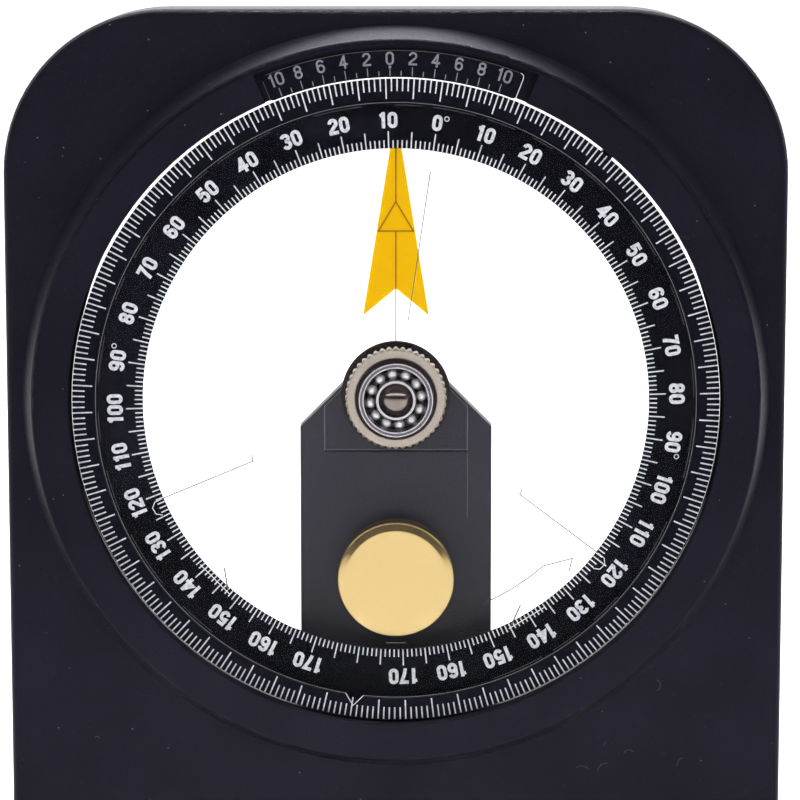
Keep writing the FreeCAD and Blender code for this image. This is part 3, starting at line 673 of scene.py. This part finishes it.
def pendulum_lines():
    """Lines on the arrow, the hair line below it and the index at the foot of the pendulum."""
    y = ARROW_Y - INK * MM
    tip, apex, base, notch, hair_foot = 42.0, 32.1, 27.3, 17.9, 8.4
    half, line_width, hair_width = 2.85, 0.2, 0.19
    index_half, index_z, index_width = 1.6, -41.3, 0.13
    bm = bmesh.new()
    ribbon(bm, [(0, tip), (0, apex)], line_width, y)
    ribbon(bm, [(0, apex), (half, base), (-half, base)], line_width, y, closed=True)
    ribbon(bm, [(0, base), (0, notch)], line_width, y)
    finish_piece(bm, "arrow_lines", BROWN_INK, "pendulum")
    y = PENDULUM_FRONT_Y - INK * MM
    bm = bmesh.new()
    ribbon(bm, [(0, notch), (0, hair_foot)], hair_width, y)
    finish_piece(bm, "pendulum_hair_line", HAIR_INK, "pendulum")
    bm = bmesh.new()
    ribbon(bm, [(-index_half, index_z), (index_half, index_z)], index_width, y)
    finish_piece(bm, "pendulum_index", WHITE_INK, "pendulum")


def arm_lines():
    """Painted highlights along the edges of the arm's pad and down the arm below its right edge, and a
    painted shadow below its foot.
    """
    pad_height, half, top, foot, crease_foot = 0.8, 11.85, -1.6, -9.25, -21.0
    edge_width, thin_width, shade_width = 0.13, 0.07, 0.45
    edge_inset, foot_inset, crease_gap, shade_gap = 0.06, 0.05, 0.6, 0.3
    pad_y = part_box("pivot_arm")[0].y - INK * MM
    arm_y = pad_y + pad_height * MM
    bm = bmesh.new()
    for side in (-1, 1):
        x = side * (half - edge_inset)
        ribbon(bm, [(x, top), (x, foot)], edge_width, pad_y)
    ribbon(bm, [(-half, foot + foot_inset), (half, foot + foot_inset)], thin_width, pad_y)
    ribbon(bm, [(half, foot - crease_gap), (half, crease_foot)], thin_width, arm_y)
    finish_piece(bm, "arm_pad_edges", HIGHLIGHT_AND_FIBRE_GREY, "case")
    bm = bmesh.new()
    # A dark ribbon where the pad's shadow falls on the arm: painted shadow.
    ribbon(bm, [(-half, foot - shade_gap), (half, foot - shade_gap)], shade_width, arm_y)
    finish_piece(bm, "arm_pad_shade", WALL_BLACK, "case")


def fibres():
    """A few short fibres on the flat of the case, clear of the boss and of the upper corners."""
    rng = random.Random(5)
    tries, steps, width, clear_r, clear_corner = 46, 5, 0.045, 63, 36
    y = (CASE_FACE_Y - INK) * MM
    bm = bmesh.new()
    for _ in range(tries):
        x, z = rng.uniform(-58, 58), rng.uniform(-76, 56)
        if math.hypot(x, z) < clear_r or (abs(x) > clear_corner and z > clear_corner):
            continue
        way, bend, length = rng.uniform(0, math.pi), rng.uniform(-0.5, 0.5), rng.uniform(0.8, 2.6)
        points = [(x, z)]
        for _ in range(steps):
            x, z = x + length / steps * math.cos(way), z + length / steps * math.sin(way)
            way += bend
            points.append((x, z))
        ribbon(bm, points, width, y)
    finish_piece(bm, "case_fibres", HIGHLIGHT_AND_FIBRE_GREY, "case")


def worn_edges():
    """Thin light lines of painted highlight: one round the upper corners and top edge of the case,
    brighter dashes along the middle of that top edge, and one round the edge of the boss's face.
    """
    inset, line_width, dash_width, boss_width, boss_inset = 0.4, 0.07, 0.10, 0.08, 0.62
    dash_left, dash_right, boss_reach = -30.0, 33, 64  # millimetres, millimetres, degrees
    half, top = CAD_BOX[1].x / MM, (CAD_BOX[1].z - AXIS_Z) / MM
    y = (CASE_FACE_Y + inset - 0.05) * MM
    corner_x, corner_z, reach = half - CASE_CORNER_R, top - CASE_CORNER_R, CASE_CORNER_R - inset
    turns = [math.radians(2.5 * i) for i in range(2, 37)]
    bm = bmesh.new()
    for side in (-1, 1):
        edge = [(side * (corner_x + reach * math.cos(a)), corner_z + reach * math.sin(a)) for a in turns]
        ribbon(bm, edge + [(side * 0.1, top - inset)], line_width, y)
    finish_piece(bm, "case_edge_line", FAINT_EDGE, "case")
    rng = random.Random(8)
    dash_z = top - inset - 0.05
    bm = bmesh.new()
    x = dash_left
    while x < dash_right:
        length = rng.uniform(0.4, 2.6)
        ribbon(bm, [(x, dash_z), (x + length, dash_z)], dash_width, y - LAYER * MM)
        x += length + rng.uniform(0.3, 2.0)
    finish_piece(bm, "case_edge_highlight_dashes", HIGHLIGHT_AND_FIBRE_GREY, "case")
    bm = bmesh.new()
    ribbon(bm, arc_points(BOSS_TOP_R - boss_inset, -boss_reach, boss_reach), boss_width, BOSS_FACE_Y * MM)
    finish_piece(bm, "boss_edge_line", FAINT_EDGE, "case")


dial_step()
dial_grooves()
pendulum_lines()
arm_lines()
worn_edges()
fibres()


# --- turned metal parts -----------------------------------------------------------------------------
def bearing_race(name, node, body, race_r, face_r, far_r):
    """A bearing ring: rounded edges and a race for the balls, and on the outer ring a shallow dark groove
    in the end face. face_r is the edge of that face on the balls' side, and far_r the edge away from
    them."""
    front, back = bearing_low.y / MM, bearing_high.y / MM
    pitch, groove, dip, edge_width, race_steps, band_index = 4.2, 0.87, 0.06, 0.22, 4, 1
    side = 1 if far_r > pitch else -1
    edge, slope = edge_width * side, abs(face_r - race_r)
    outline = [(face_r, back), (far_r, back), (far_r, front), (far_r - edge, front)]
    if side > 0:
        outline += [(far_r - edge - dip, front + dip), (face_r + edge + dip, front + dip)]
    outline += [(face_r + edge, front), (face_r, front)]
    half = math.acos(abs(race_r - pitch) / groove)
    middle = (front + back) / 2
    race = [(race_r, front + slope)]
    for i in range(-race_steps, race_steps + 1):
        a = half * i / race_steps
        race.append((pitch + side * groove * math.cos(a), middle + groove * math.sin(a)))
    race.append((race_r, back - slope))
    profile = rounded(outline, EDGE_ROUND) + [Vector(p) for p in race]
    piece = lathe(name, profile, AXIS_Z, body, STEEL)
    piece.data.materials.append(STEEL_BAND)
    band_middle, band_half = (far_r + face_r) / 2, (far_r - face_r) / 2 - edge
    for face in piece.data.polygons:
        r = math.hypot(face.center.x, face.center.z - AXIS_Z) / MM
        if side > 0 and abs(r - band_middle) < band_half:
            face.material_index = band_index
    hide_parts(node)


def brass_weight():
    """The weight, whose face slopes back a little at its rim."""
    rim_width, rim_depth, rim_round = 1.35, 0.3, 0.22
    front, back = weight_low.y / MM, weight_high.y / MM
    r = (weight_high.z - weight_low.z) / 2 / MM
    outline = [(0, front), (r - rim_width, front), (r, front + rim_depth), (r, back), (0, back)]
    profile = rounded(outline, rim_round, False)
    weight = lathe("brass_weight", profile, WEIGHT_Z, "pendulum", BRASS, False)
    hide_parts("pendulum_weight")


def domed_stud():
    """The stud: a polished dome in front, the bearing's journal and the thread behind it."""
    dome_r, dome_front, journal, thread, shoulder, end = 3.6, -5.7, 2.78, 2.0, 1.8, 7.2
    steps = 16
    turns = [math.asin(journal / dome_r) * i / steps for i in range(steps + 1)]
    dome = [(dome_r * math.sin(a), dome_front + dome_r * (1 - math.cos(a))) for a in turns]
    body = [dome[-1], (journal, shoulder), (thread, shoulder), (thread, end), (0, end)]
    profile = [Vector(p) for p in dome] + rounded(body, EDGE_ROUND, False)[1:]
    stud = lathe("domed_stud", profile, AXIS_Z, "case", DARK_CHROME, False)
    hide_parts("pivot_stud")


brass_weight()
bearing_race("outer_race", "bearing_outer_ring", "pendulum", 4.95, 5.25, 6.08)
bearing_race("inner_race", "bearing_inner_ring", "case", 3.45, 3.25, 2.8)
domed_stud()

# --- floor, light and camera ------------------------------------------------------------------------
CAMERA_ELEVATION = 8.3  # degrees
CAMERA_DISTANCE = 0.570  # metres
CAMERA_AIM = (0.00067, 0.00010)  # metres right of and above the dial axis
FOCAL_PIXELS = 3497.0  # for an 800 pixel wide frame
FRAME_PIXELS = 800.0
SENSOR_WIDTH = 36.0  # millimetres
FLOOR_HALF = 30.0  # metres


def floor():
    """A plain pale floor that reaches past the picture on all sides."""
    bm = bmesh.new()
    bmesh.ops.create_grid(bm, x_segments=1, y_segments=1, size=FLOOR_HALF)
    mesh = bpy.data.meshes.new("floor")
    bm.to_mesh(mesh)
    bm.free()
    obj = bpy.data.objects.new("floor", mesh)
    bpy.context.scene.collection.objects.link(obj)
    mat, _, shader = new_material("floor_white")
    shader.inputs["Base Color"].default_value = (0.95, 0.95, 0.95, 1)
    shader.inputs["Roughness"].default_value = 0.9
    mesh.materials.append(mat)


def area_light(name, place, target, size, power, spread=180):
    """A rectangular lamp at a place, turned to a target. power is in watts, spread in degrees."""
    data = bpy.data.lights.new(name, "AREA")
    data.spread = math.radians(spread)
    data.shape = "RECTANGLE"
    data.size, data.size_y = size
    data.energy = power
    obj = bpy.data.objects.new(name, data)
    bpy.context.scene.collection.objects.link(obj)
    obj.location = place
    obj.rotation_euler = (Vector(target) - Vector(place)).to_track_quat("-Z", "Y").to_euler()


def sun(name, towards, strength, angle):
    """Light from far away that travels in one direction. angle is how wide its source looks, in
    degrees."""
    data = bpy.data.lights.new(name, "SUN")
    data.energy = strength
    data.angle = math.radians(angle)
    obj = bpy.data.objects.new(name, data)
    bpy.context.scene.collection.objects.link(obj)
    obj.rotation_euler = Vector(towards).to_track_quat("-Z", "Y").to_euler()


def world():
    """Light by direction: brightest behind and above, dim in front. The camera sees plain white past the
    floor's edge."""
    w = bpy.data.worlds.new("studio")
    bpy.context.scene.world = w
    w.use_nodes = True
    nt = w.node_tree
    back = nt.nodes["Background"]
    back.inputs["Color"].default_value = (1, 1, 1, 1)
    split = nt.nodes.new("ShaderNodeSeparateXYZ")
    nt.links.new(nt.nodes.new("ShaderNodeTexCoord").outputs["Generated"], split.inputs["Vector"])
    depth = remap(nt, split.outputs["Y"], -0.55, 0.1, 0.04, 0.85)
    height = remap(nt, split.outputs["Z"], 0.1, 0.6, 1.0, 1.7)
    behind = remap(nt, split.outputs["Y"], 0.3, 0.9, 1.0, 2.6)
    strength = math_node(nt, "MULTIPLY", math_node(nt, "MULTIPLY", depth, height), behind)
    nt.links.new(strength, back.inputs["Strength"])
    seen = nt.nodes.new("ShaderNodeBackground")
    seen.inputs["Color"].default_value = (1, 1, 1, 1)
    seen.inputs["Strength"].default_value = 1.0
    path = nt.nodes.new("ShaderNodeLightPath")
    mix = nt.nodes.new("ShaderNodeMixShader")
    nt.links.new(path.outputs["Is Camera Ray"], mix.inputs["Fac"])
    nt.links.new(back.outputs["Background"], mix.inputs[1])
    nt.links.new(seen.outputs["Background"], mix.inputs[2])
    nt.links.new(mix.outputs["Shader"], nt.nodes["World Output"].inputs["Surface"])


def camera():
    """A long lens, aimed at the bearing from in front and a little above."""
    data = bpy.data.cameras.new("camera")
    data.sensor_width = SENSOR_WIDTH
    data.lens = SENSOR_WIDTH * FOCAL_PIXELS / FRAME_PIXELS
    data.clip_start, data.clip_end = 0.01, 100.0
    obj = bpy.data.objects.new("camera", data)
    bpy.context.scene.collection.objects.link(obj)
    e = math.radians(CAMERA_ELEVATION)
    back = Vector((0, -math.cos(e), math.sin(e)))
    aim = Vector((CAMERA_AIM[0], BEARING_Y, AXIS_Z + CAMERA_AIM[1]))
    obj.location = aim + back * CAMERA_DISTANCE
    obj.rotation_mode = "QUATERNION"
    obj.rotation_quaternion = (-back).to_track_quat("-Z", "Y")
    bpy.context.scene.camera = obj


floor()
# A wide low strip in front for the metal, a small pool of light on the near floor, a large panel above
# and behind for the floor and the upper edges, and an even light from behind and above.
area_light("key_strip", (0.0, -0.655, 0.42), (0, 0, 0.09), (1.7, 0.10), 3.0)
area_light("floor_pool", (0.0, -0.09, 0.9), (0.0, -0.09, 0.0), (0.12, 0.10), 0.21, spread=16)
area_light("back_top", (0.0, 0.45, 1.2), (0, 0, 0.1), (2.2, 0.55), 22.0)
sun("sky_light", (0.0, -0.55, -0.8), 0.5, 35)
world()
camera()
bpy.context.scene.view_settings.view_transform = "Standard"
